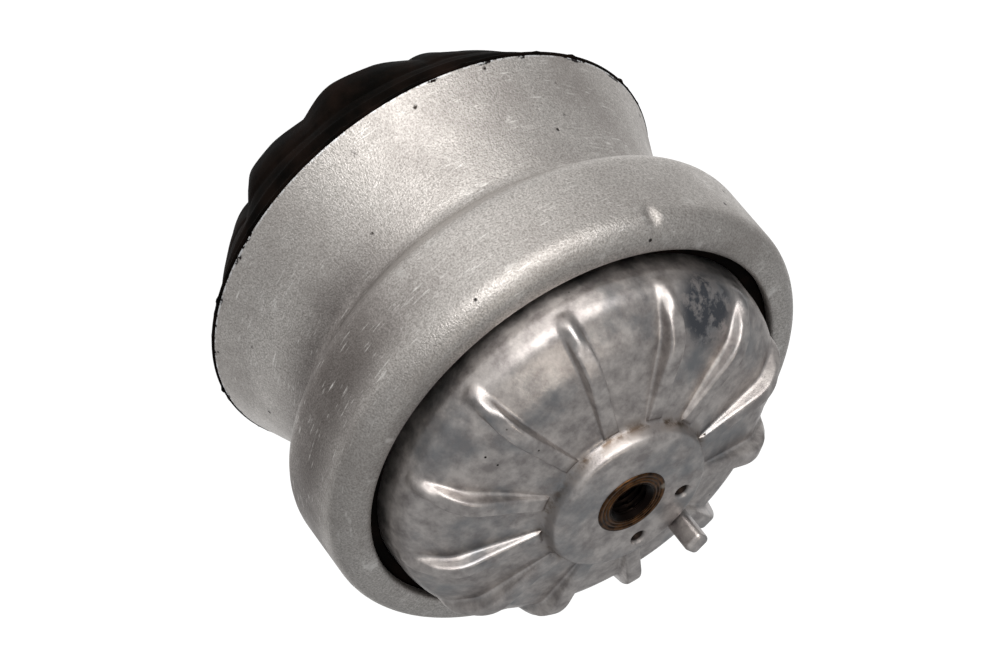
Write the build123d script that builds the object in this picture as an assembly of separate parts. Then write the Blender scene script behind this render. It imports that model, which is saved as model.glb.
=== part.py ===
# Fluid-filled engine mount: a spool-shaped aluminium housing, a lobed rubber
# spring bonded round a conical core, a channel plate stack and a ribbed cast dome.
# Millimetres. Z runs up the mount's axis, from the core's flat face, on which the
# mount stands, to the dome. X points at the locating lug on the dome's hub.
import os
from math import atan2, cos, hypot, radians, sin, tan

from build123d import *

# Outer housing: bell, waist, flared end and rolled lip. Insets count inward from the bell.
bell_radius = 46.5
housing_wall = 2.6
flange_inset = 1.8
flange_stand = 20.9
cone_length = 22.3
cone_middle_inset = 6.0
cone_middle_rise = 10.5
waist_inset = 8.7
shoulder_rise = 7.2
lip_reach = 6.5
cone_curve = 60.0
waist_fillet = 5.0
shoulder_fillet = 3.5
lip_roll = 4.5
lip_edge_round = 0.9

# Clamped stack between the shoulder's seat and the rolled lip
seat_land = 0.6
seat_ring_thickness = 1.6
body_flange = 4.0
cover_thickness = 1.8
bead_thickness = 1.8
bellows_ring_thickness = 1.0
dome_flange = 2.4
seal_thickness = 0.8
seal_rise = 0.5
stack_clearance = 0.1

# Cast dome with ribs, hub, locating lug and two dimples
dome_gap = 2.5
dome_wall = 3.0
dome_wall_draft = 0.3
dome_shoulder_above_lip = 6.8
dome_shoulder_round = 6.0
dome_rise = 7.5
dome_sag = 0.4
dome_curve = 60.0
hub_radius = 14.8
hub_height = 3.4
hub_foot_spread = 0.9
hub_foot_round = 1.6
hub_edge_round = 0.5
rib_count = 12
rib_start_gap = 0.8
rib_crest_inset = 6.2
rib_crest_drop = 1.2
rib_crest_round = 10.0
rib_end_reach = 0.9
rib_end_drop = 7.4
rib_end_round = 5.0
rib_root_drop = 5.0
rib_half_width = 1.4
rib_draft = 8.0
rib_edge_round = 0.8
rib_sweep_angle = 40.0
rib_cut_rise = 1.5
rib_end_sink = 0.3
rib_root_sink = 1.8
lug_width = 3.9
lug_depth = 3.4
lug_height = 5.4
lug_round = 0.9
lug_hub_gap = 0.3
dimple_pitch_radius = 11.05
dimple_angle = 30.0
dimple_radius = 1.65
dimple_tip_radius = 0.3
dimple_depth = 1.6

# Threaded steel bushes, as plain bores of the thread's minor radius
dome_bush_radius = 6.65
dome_bush_length = 14.0
dome_bush_proud = 0.25
dome_thread_radius = 3.4
dome_countersink_radius = 4.25
dome_boss_wall = 3.6
dome_boss_floor = 1.5
core_bush_radius = 8.0
core_bush_length = 19.5
core_thread_radius = 4.25
core_countersink_radius = 5.25
bush_groove_width = 0.5
bush_groove_depth = 0.3

# Core, its stop disc and its screw
core_radius = 17.0
core_collar = 6.0
core_length = 40.0
core_tip_radius = 12.0
core_edge_chamfer = 1.0
core_waist_round = 3.0
disc_radius = 15.5
disc_thickness = 2.0
disc_edge_round = 1.0
screw_radius = 2.5
screw_length = 8.0
screw_head_radius = 4.5
screw_socket_width = 3.0
screw_socket_depth = 1.2

# Rubber spring: lobed collar, groove, spring cone and flange film
lobe_count = 10
lobe_start_angle = 9.0
lobe_depth = 2.4
lobe_swell_depth = 1.92
lobe_ledge_depth = 0.72
collar_inset = 1.0
collar_ledge_height = 15.4
collar_ledge_step = 0.5
collar_swell_height = 9.0
collar_swell_inset = 3.4
collar_crown_inset = 9.0
collar_crown_wall = 4.6
collar_end_height = 3.7
collar_turn_rise = 2.2
collar_turn_bulge = 0.8
groove_slant = 1.4
groove_depth = 12.0
groove_round = 2.5
groove_mouth_depth = 2.0
groove_mouth_round = 1.5
groove_cut_margin = 1.0
core_skin = 1.0
chamber_lip = 1.5
chamber_round = 3.0
chamber_floor_width = 3.0
film_thickness = 0.55
film_overhang = 0.25

# Channel plates, membrane and rivets
cage_wall = 1.8
cage_gap = 1.0
membrane_inset = 12.8
membrane_thickness = 2.4
membrane_clearance = 0.3
membrane_edge_round = 0.6
track_inset = 2.8
track_width = 5.0
track_depth = 2.6
track_bridge_angle = 24.0
window_count = 6
window_radius = 2.4
window_inset = 8.0
port_radius = 2.2
port_side_angle = 6.0
rivet_count = 4
rivet_inset = 10.2
rivet_radius = 1.2
rivet_head_radius = 1.9
rivet_head_height = 0.7

# Rubber bellows
bellows_wall = 1.6
bellows_foot_inset = 2.3
bellows_fold_outer_inset = 5.3
bellows_fold_inner_inset = 10.3
bellows_fold_rise = 6.5
bellows_centre_inset = 16.8
bellows_centre_rise = 2.4
bellows_bend = 1.8

# Heights and radii that follow from the sizes above
flange_radius = bell_radius - flange_inset
waist_radius = bell_radius - waist_inset
lip_radius = bell_radius - lip_reach
dome_radius = lip_radius - dome_gap
waist_height = flange_stand + cone_length
bell_start = waist_height + shoulder_rise
bell_inner_radius = bell_radius - housing_wall
shoulder_slope = atan2(shoulder_rise, waist_inset)
inner_corner = bell_start - housing_wall * tan(shoulder_slope) + housing_wall / cos(shoulder_slope)
seat_height = inner_corner + seat_land
ring_top = seat_height + seat_ring_thickness
body_top = ring_top + body_flange
cover_top = body_top + cover_thickness
bead_top = cover_top + bead_thickness
bellows_ring_top = bead_top + bellows_ring_thickness
dome_flange_top = bellows_ring_top + dome_flange
lip_underside = dome_flange_top + seal_thickness
lip_height = lip_underside + housing_wall
stack_radius = bell_inner_radius - stack_clearance
clamp_inner_radius = dome_radius + dome_wall_draft - dome_wall
cone_middle_radius = bell_radius - cone_middle_inset
collar_radius = flange_radius - housing_wall - collar_inset
collar_swell_radius = collar_radius - collar_swell_inset
collar_crown_radius = collar_radius - collar_crown_inset
collar_inner_radius = collar_crown_radius - collar_crown_wall
groove_floor_radius = collar_inner_radius - groove_slant
membrane_radius = clamp_inner_radius - membrane_inset
window_pitch_radius = membrane_radius - window_inset
rivet_pitch_radius = clamp_inner_radius - rivet_inset
track_inner_radius = clamp_inner_radius - track_inset - track_width
bellows_foot_radius = clamp_inner_radius - bellows_foot_inset
bellows_fold_outer_radius = clamp_inner_radius - bellows_fold_outer_inset
bellows_fold_inner_radius = clamp_inner_radius - bellows_fold_inner_inset
bellows_centre_radius = clamp_inner_radius - bellows_centre_inset
dome_shoulder = lip_height + dome_shoulder_above_lip
hub_foot = dome_shoulder + dome_rise
hub_foot_radius = hub_radius + hub_foot_spread
hub_face = hub_foot + hub_height
bush_top = hub_face + dome_bush_proud
bush_bottom = bush_top - dome_bush_length
boss_bottom = bush_bottom - dome_boss_floor
rib_inner_radius = hub_radius + rib_start_gap
rib_crest_radius = dome_radius - rib_crest_inset
rib_crest = hub_foot - rib_crest_drop
rib_end_radius = dome_radius + rib_end_reach
rib_end = hub_foot - rib_end_drop
rib_root = rib_end - rib_root_drop
cage_bottom = body_top - membrane_thickness - 2 * membrane_clearance - cage_wall
UPRIGHT = (Align.CENTER, Align.CENTER, Align.MIN)


def profile(points, radii):
    """Line through (radius, height) points in the X-Z plane, each inner corner rounded."""
    return FilletPolyline(*[(r, 0, z) for r, z in points], radius=radii)


def turned(points, radii):
    """Solid of revolution between the Z axis and a rounded line."""
    line = profile(points, radii)
    low = (0, 0, points[0][1])
    high = (0, 0, points[-1][1])
    closing = Polyline(line @ 1, high, low, line @ 0)
    return revolve(make_face(line.edges() + closing.edges()), Axis.Z)


def turned_wall(points, radii, thickness):
    """Turned sheet of even thickness that follows a rounded line."""
    near = profile(inset(points, thickness / 2), radii)
    far = profile(inset(points, -thickness / 2), radii)
    ends = [Line(near @ 0, far @ 0), Line(near @ 1, far @ 1)]
    return revolve(make_face(near.edges() + far.edges() + [end.edge() for end in ends]), Axis.Z)


def disc(radius, bottom, top):
    """Plain disc between two heights."""
    return Pos(0, 0, bottom) * Cylinder(radius, top - bottom, align=UPRIGHT)


def ring(inner, outer, bottom, top):
    """Plain ring between two radii and two heights."""
    return disc(outer, bottom, top) - disc(inner, bottom, top)


def cone(low_radius, high_radius, bottom, top):
    """Cone frustum between two heights."""
    return Pos(0, 0, bottom) * Cone(low_radius, high_radius, top - bottom, align=UPRIGHT)


def around(shape, count, start=0.0):
    """Copies of a shape, evenly round the Z axis."""
    return [Rot(0, 0, start + 360 / count * step) * shape for step in range(count)]


def inset(points, distance):
    """The same open line moved to its left by a distance, with mitred corners."""
    runs = []
    for (r0, z0), (r1, z1) in zip(points, points[1:]):
        length = hypot(r1 - r0, z1 - z0)
        runs.append(((z0 - z1) / length, (r1 - r0) / length))
    moved = []
    for index, (r, z) in enumerate(points):
        before = runs[max(index - 1, 0)]
        after = runs[min(index, len(runs) - 1)]
        reach = distance / (1 + before[0] * after[0] + before[1] * after[1])
        moved.append((r + (before[0] + after[0]) * reach, z + (before[1] + after[1]) * reach))
    return moved


def housing_line():
    """Outer line of the housing, from the flared end to the lip's inner edge."""
    return [
        (flange_radius, flange_stand),
        (cone_middle_radius, flange_stand + cone_middle_rise),
        (waist_radius, waist_height),
        (bell_radius, bell_start),
        (bell_radius, lip_height),
        (lip_radius, lip_height),
    ]


def housing_interior():
    """Everything inside the housing's wall, up to the underside of the lip."""
    line = inset(housing_line(), housing_wall)
    line[0] = (line[0][0], flange_stand)
    radii = [
        cone_curve,
        waist_fillet + housing_wall,
        shoulder_fillet - housing_wall,
        lip_roll - housing_wall,
    ]
    return turned(line, radii)


def make_housing():
    """One-piece spool: flared cone, waist, bell and a lip rolled over the dome."""
    outside = turned(housing_line(), [cone_curve, waist_fillet, shoulder_fillet, lip_roll])
    shell = outside - housing_interior() - disc(lip_radius, lip_underside, lip_height)
    edges = shell.edges().filter_by(GeomType.CIRCLE)
    return fillet([edge for edge in edges if abs(edge.radius - lip_radius) < 0.01], lip_edge_round)


def make_core():
    """Conical aluminium core, bored for the bush at one end and the screw at the other."""
    body = core_form()
    body -= disc(core_bush_radius, 0, core_bush_length)
    return body - disc(screw_radius, core_length - screw_length, core_length)


def core_form():
    """The core's outer form: a short straight collar, then a cone to the tip."""
    line = [(core_radius, 0), (core_radius, core_collar), (core_tip_radius, core_length)]
    body = turned(line, [core_waist_round])
    return chamfer(body.edges().group_by(Axis.Z)[0], core_edge_chamfer)


def make_bush(radius, length, thread, mouth):
    """Threaded bush with its mouth up: a plain bore, a countersink and a turned face groove."""
    body = disc(radius, 0, length) - disc(thread, 0, length)
    body -= cone(thread, mouth, length - (mouth - thread), length)
    groove = (mouth + radius) / 2
    return body - ring(
        groove - bush_groove_width / 2, groove + bush_groove_width / 2, length - bush_groove_depth, length
    )


def make_stop_disc():
    """Steel disc on the core's tip, countersunk for its screw."""
    top = core_length + disc_thickness
    plate = disc(disc_radius, core_length, top)
    plate = fillet(plate.edges().group_by(Axis.Z)[-1], disc_edge_round)
    return plate - cone(screw_radius, screw_head_radius, core_length, top)


def make_stop_screw():
    """Countersunk screw that holds the stop disc to the core."""
    top = core_length + disc_thickness
    body = disc(screw_radius, core_length - screw_length, core_length)
    body += cone(screw_radius, screw_head_radius, core_length, top)
    socket = extrude(RegularPolygon(screw_socket_width / 2, 6), screw_socket_depth)
    return body - Pos(0, 0, top - screw_socket_depth) * socket


def lobed_face(radius, depth, height):
    """Face with a wavy outline: one broad round lobe to each tight notch."""
    points = []
    for step in range(lobe_count * 4):
        turn = radians(90 / lobe_count * step)
        wave = abs(cos(turn * lobe_count / 2))
        reach = radius - depth * (1 - wave)
        angle = turn + radians(lobe_start_angle)
        points.append((reach * cos(angle), reach * sin(angle), height))
    return make_face(Spline(*points, periodic=True).edges())


def make_collar():
    """Lobed rubber block that stands out of the flared end, rounded over towards its free end."""
    base = disc(collar_radius, collar_ledge_height, flange_stand)
    turn_radius = (collar_swell_radius + collar_crown_radius) / 2 + collar_turn_bulge
    lobes = loft([
        lobed_face(collar_radius - collar_ledge_step, lobe_ledge_depth, collar_ledge_height),
        lobed_face(collar_swell_radius, lobe_swell_depth, collar_swell_height),
        lobed_face(turn_radius, lobe_depth, collar_end_height + collar_turn_rise),
        lobed_face(collar_crown_radius, lobe_depth, collar_end_height),
    ])
    return base + lobes


def make_spring():
    """Rubber spring bonded between core and housing, with its collar and flange film."""
    body = housing_interior() & disc(bell_radius, flange_stand, seat_height)
    body += make_collar()
    body += disc(flange_radius + film_overhang, flange_stand - film_thickness, flange_stand)
    groove_floor = collar_end_height + groove_depth
    skin_radius = core_radius + core_skin
    floor_round = min(groove_round, (groove_floor_radius - skin_radius) / 3)
    body -= turned([
        (collar_inner_radius + groove_slant, collar_end_height - groove_cut_margin),
        (collar_inner_radius, collar_end_height + groove_mouth_depth),
        (groove_floor_radius, groove_floor),
        (skin_radius, core_collar + core_skin),
        (core_radius, core_collar),
    ], [groove_mouth_round, floor_round, core_skin / 2])
    body -= turned([
        (core_tip_radius + core_skin, core_length - chamber_lip),
        (core_tip_radius + core_skin + chamber_floor_width, core_length - chamber_lip),
        (clamp_inner_radius, waist_height + shoulder_rise / 2),
        (clamp_inner_radius, seat_height),
    ], [chamber_round, chamber_round])
    return body - core_form()


def make_seat_ring():
    """Steel ring on the rubber seat that carries the clamped stack."""
    return ring(clamp_inner_radius, stack_radius, seat_height, ring_top)


def rivet_places(shape):
    """The rivets' places, between the membrane and the track."""
    return around(Pos(rivet_pitch_radius, 0, 0) * shape, rivet_count, 45.0)


def windows(bottom, top):
    """Round windows through which the fluid reaches the membrane."""
    hole = disc(window_radius, bottom, top)
    return [hole] + around(Pos(window_pitch_radius, 0, 0) * hole, window_count)


def track_port(side, bottom, top):
    """Port at one end of the track, beside the bridge."""
    reach = track_inner_radius + track_width / 2
    turn = side * (track_bridge_angle / 2 + port_side_angle)
    return Rot(0, 0, turn) * Pos(reach, 0, 0) * disc(port_radius, bottom, top)


def make_nozzle_body():
    """Channel plate with the membrane's cage, the ring-shaped track and its bridge."""
    body = disc(stack_radius, ring_top, body_top) + disc(clamp_inner_radius - cage_gap, cage_bottom, body_top)
    body -= disc(membrane_radius + membrane_clearance, cage_bottom + cage_wall, body_top)
    track = ring(track_inner_radius, track_inner_radius + track_width, body_top - track_depth, body_top)
    bridge_width = 2 * track_inner_radius * tan(radians(track_bridge_angle / 2))
    bridge = Box(2 * track_width, bridge_width, track_depth, align=UPRIGHT)
    bridge = Pos(track_inner_radius + track_width / 2, 0, body_top - track_depth) * bridge
    body -= track - bridge
    body -= track_port(1, cage_bottom, body_top)
    body -= windows(cage_bottom, body_top)
    return body - rivet_places(disc(rivet_radius, cage_bottom, body_top))


def make_nozzle_cover():
    """Flat plate that closes the track and the membrane's cage."""
    plate = disc(stack_radius, body_top, cover_top)
    plate -= track_port(-1, body_top, cover_top)
    plate -= windows(body_top, cover_top)
    return plate - rivet_places(disc(rivet_radius, body_top, cover_top))


def make_rivets():
    """Rivets that join the two channel plates, each with two flat heads."""
    rivet = disc(rivet_radius, cage_bottom, cover_top)
    rivet += disc(rivet_head_radius, cage_bottom - rivet_head_height, cage_bottom)
    rivet += disc(rivet_head_radius, cover_top, cover_top + rivet_head_height)
    return Compound(rivet_places(rivet))


def make_membrane():
    """Loose rubber disc in the cage between the two plates."""
    bottom = cage_bottom + cage_wall + membrane_clearance
    plate = disc(membrane_radius, bottom, bottom + membrane_thickness)
    return fillet(plate.edges(), membrane_edge_round)


def make_bellows():
    """Soft rolling diaphragm with a clamped bead, behind which the dome holds air."""
    low = cover_top + bellows_wall / 2
    wall = turned_wall([
        (clamp_inner_radius + bead_thickness, low),
        (bellows_foot_radius, low),
        (bellows_fold_outer_radius, cover_top + bellows_fold_rise),
        (bellows_fold_inner_radius, cover_top + bellows_fold_rise),
        (bellows_centre_radius, cover_top + bellows_centre_rise),
        (0, cover_top + bellows_centre_rise),
    ], bellows_bend, bellows_wall)
    return wall + ring(clamp_inner_radius, stack_radius, cover_top, bead_top)


def make_bellows_ring():
    """Flat steel ring that spreads the clamping load over the bellows' bead."""
    return ring(clamp_inner_radius, stack_radius, bead_top, bellows_ring_top)


def make_edge_seal():
    """Rubber ring under the rolled lip, seen as the dark gap round the dome."""
    inner = dome_radius + dome_wall_draft
    seal = ring(inner, stack_radius, dome_flange_top, lip_underside) & housing_interior()
    return seal + ring(inner, lip_radius, lip_underside, lip_underside + seal_rise)


def dome_line():
    """Outer line of the dome from its wall to the hub's foot."""
    middle_radius = (dome_radius + hub_foot_radius) / 2
    return [
        (dome_radius + dome_wall_draft, dome_flange_top),
        (dome_radius, dome_shoulder),
        (middle_radius, dome_shoulder + dome_rise / 2 - dome_sag),
        (hub_foot_radius, hub_foot),
    ]


def make_dome_form():
    """The dome's turned form: clamped flange, wall, shallow cone and hub, hollow below."""
    outer = [(stack_radius, bellows_ring_top), (stack_radius, dome_flange_top)] + dome_line()
    outer += [(hub_radius, hub_face), (dome_bush_radius, hub_face)]
    flange_round = min(lip_roll - housing_wall, dome_flange * 0.8)
    body = turned(outer, [flange_round, 0, dome_shoulder_round, dome_curve, hub_foot_round, hub_edge_round])
    inner = inset(dome_line(), dome_wall)
    inner[0] = (clamp_inner_radius, bellows_ring_top)
    boss_radius = dome_bush_radius + dome_boss_wall
    inner = inner[:-1] + [(boss_radius, inner[-1][1]), (boss_radius, boss_bottom)]
    body -= turned(inner, [dome_shoulder_round - dome_wall, dome_curve, hub_foot_round])
    return body - disc(dome_bush_radius, bush_bottom, bush_top)


def rib_prism():
    """Drafted bar along a rib's crest, which gives the rib its two sides."""
    fall = (hub_foot - rib_crest) / (rib_crest_radius - rib_inner_radius)
    draft = tan(radians(rib_draft))
    above, below = rib_cut_rise, hub_foot - rib_root
    section = Polyline(
        (-rib_half_width + above * draft, above),
        (rib_half_width - above * draft, above),
        (rib_half_width + below * draft, -below),
        (-rib_half_width - below * draft, -below),
        close=True,
    )
    start = Plane(origin=(rib_inner_radius, 0, hub_foot), x_dir=(0, 1, 0), z_dir=(1, 0, -fall))
    return extrude(start * make_face(section.edges()), rib_end_radius, both=True)


def make_rib():
    """One rib, from the hub's foot over the dome's shoulder, with softened upper edges."""
    line = profile([
        (rib_inner_radius, hub_foot),
        (rib_crest_radius, rib_crest),
        (rib_end_radius, rib_end),
        (dome_radius - rib_end_sink, rib_root),
    ], [rib_crest_round, rib_end_round])
    roots = inset(dome_line(), rib_root_sink)[1:]
    closing = Polyline(line @ 1, *[(r, 0, z) for r, z in roots], line @ 0)
    blade = revolve(make_face(line.edges() + closing.edges()), Axis.Z, rib_sweep_angle)
    rib = Rot(0, 0, -rib_sweep_angle / 2) * blade & rib_prism()
    return fillet([edge for edge in rib.edges() if is_rib_edge(edge)], rib_edge_round)


def is_rib_edge(edge):
    """Tells whether an edge runs between a rib's top and one of its sides."""
    middle = edge.center()
    slope = dome_rise / (dome_radius - rib_inner_radius)
    above = middle.Z > hub_foot - (middle.X - rib_inner_radius) * slope + rib_edge_round / 2
    beside = abs(middle.Y) > rib_half_width / 2 and middle.X > rib_inner_radius + 1
    return beside and (above or middle.X > dome_radius)


def make_lug():
    """Locating lug that stands on the hub's edge, with rounded edges."""
    height = hub_face + lug_height - hub_foot
    lug = Pos(hub_radius + lug_hub_gap, 0, hub_foot) * Box(
        lug_depth, lug_width, height, align=(Align.MIN, Align.CENTER, Align.MIN)
    )
    upper = lug.edges().group_by(Axis.Z)[-1]
    return fillet(lug.edges().filter_by(Axis.Z) + upper, lug_round)


def make_dome():
    """Die-cast dome with ribs, lug and two dimples."""
    body = make_dome_form() + around(make_rib(), rib_count) + make_lug()
    dimple = cone(dimple_tip_radius, dimple_radius, hub_face - dimple_depth, hub_face)
    for side in (-1, 1):
        body -= Rot(0, 0, side * dimple_angle) * Pos(dimple_pitch_radius, 0, 0) * dimple
    return body


dome_bush = make_bush(dome_bush_radius, dome_bush_length, dome_thread_radius, dome_countersink_radius)
core_bush = make_bush(core_bush_radius, core_bush_length, core_thread_radius, core_countersink_radius)

parts = {
    "outer_housing": make_housing(),
    "main_spring": make_spring(),
    "spring_core": make_core(),
    "core_thread_bush": Pos(0, 0, core_bush_length) * Rot(180, 0, 0) * core_bush,
    "stop_disc": make_stop_disc(),
    "stop_disc_screw": make_stop_screw(),
    "seat_ring": make_seat_ring(),
    "nozzle_body": make_nozzle_body(),
    "decoupler_membrane": make_membrane(),
    "nozzle_cover": make_nozzle_cover(),
    "nozzle_rivets": make_rivets(),
    "bellows": make_bellows(),
    "bellows_ring": make_bellows_ring(),
    "edge_seal": make_edge_seal(),
    "dome_cover": make_dome(),
    "dome_thread_bush": Pos(0, 0, bush_bottom) * dome_bush,
}

os.makedirs("parts", exist_ok=True)
for name, shape in parts.items():
    export_step(shape, f"parts/{name}.step")
print("lip", round(lip_height, 2), "hub face", round(hub_face, 2), "pieces", len(parts))
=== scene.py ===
# %% [markdown]
# An engine mount for a studio picture. Its construction comes packed: an aluminium spool, a rubber spring, a
# ribbed cast dome and the pieces hidden between them. This lesson gives each visible surface the finish that
# its making leaves, and models again, in finer mesh, the pieces whose look lives in small form. All lengths
# below are in millimetres and are turned to metres in one place.

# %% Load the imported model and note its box
from math import atan2, cos, hypot, pi, radians, sin, tan

import bpy
import numpy as np
from mathutils import Matrix, Vector


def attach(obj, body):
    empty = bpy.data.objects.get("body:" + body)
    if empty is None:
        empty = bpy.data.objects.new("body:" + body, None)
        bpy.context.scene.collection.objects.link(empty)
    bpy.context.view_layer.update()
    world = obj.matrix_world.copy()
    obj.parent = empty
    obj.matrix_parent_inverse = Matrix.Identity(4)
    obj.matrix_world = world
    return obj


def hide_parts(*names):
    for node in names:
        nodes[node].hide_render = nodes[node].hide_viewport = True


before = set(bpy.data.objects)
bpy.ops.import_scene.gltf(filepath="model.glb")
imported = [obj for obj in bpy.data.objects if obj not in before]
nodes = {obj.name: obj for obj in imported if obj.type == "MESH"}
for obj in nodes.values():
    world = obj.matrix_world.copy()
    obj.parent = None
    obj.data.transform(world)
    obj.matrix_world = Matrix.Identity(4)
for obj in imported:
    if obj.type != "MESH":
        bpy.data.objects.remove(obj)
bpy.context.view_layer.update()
MM = 0.001

# %% [markdown]
# A finish is a small network of shader nodes. One helper adds a node with its settings and its links, so that
# each material reads as a list of what the surface does. Colours are written as they look on a screen and
# turned to the linear values that the renderer counts in.

# %% Helpers for colours and nodes
def linear(hex_colour):
    """Screen colour such as 8FA0B1 as linear red, green, blue and full alpha."""
    parts = [int(hex_colour[i:i + 2], 16) / 255 for i in (0, 2, 4)]
    return [c / 12.92 if c <= 0.04045 else ((c + 0.055) / 1.055) ** 2.4 for c in parts] + [1.0]


def add(tree, kind, settings=None, links=None):
    """Adds one node: settings name its properties or sockets, links feed its sockets."""
    node = tree.nodes.new("ShaderNode" + kind)
    for name, value in (settings or {}).items():
        if isinstance(name, str) and hasattr(node, name):
            setattr(node, name, value)
        else:
            node.inputs[name].default_value = value
    for socket, source in (links or {}).items():
        tree.links.new(source, node.inputs[socket])
    return node


def start_finish(name, colour, settings):
    """New material with a principled surface. Gives the material, its tree, that surface and the object's space."""
    material = bpy.data.materials.new(name)
    material.use_nodes = True
    material.diffuse_color = linear(colour)
    tree = material.node_tree
    surface = tree.nodes["Principled BSDF"]
    surface.inputs["Base Color"].default_value = linear(colour)
    for socket, value in settings.items():
        surface.inputs[socket].default_value = value
    return material, tree, surface, add(tree, "TexCoord").outputs["Object"]


# %% [markdown]
# The spool is cast aluminium that was blasted with grit. The grit leaves a dense, even grain, so the metal looks
# pale and dry, with a soft broad shine instead of a mirror. The real grain is about 0.2 mm; it is drawn at
# 0.4 mm, because finer grain would vanish between the picture's pixels. Handling adds grey smudges a few
# centimetres long, rubbed spots that gleam, and a few open pores show as dark specks.

# %% Grit-blasted cast aluminium
GRIT = 0.34
SMUDGE = 24.0
PORE = 2.6
STREAK = 0.45
STREAK_LENGTH = 9.0
# Direction of the side of the spool that is painted darker as painted shade.
SHADED_SIDE = (-0.80, -0.60, 0.0)
KNOCKS = [
    ((-42.0, 11.0, 25.0), 1.5, "2B2522"), ((-39.0, 4.0, 37.0), 0.9, "2B2522"), ((-37.0, 23.0, 24.0), 1.1, "332C28"),
    ((-33.0, 30.5, 22.2), 1.6, "2B2522"), ((-28.0, 34.5, 22.4), 1.2, "332C28"),
]


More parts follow.
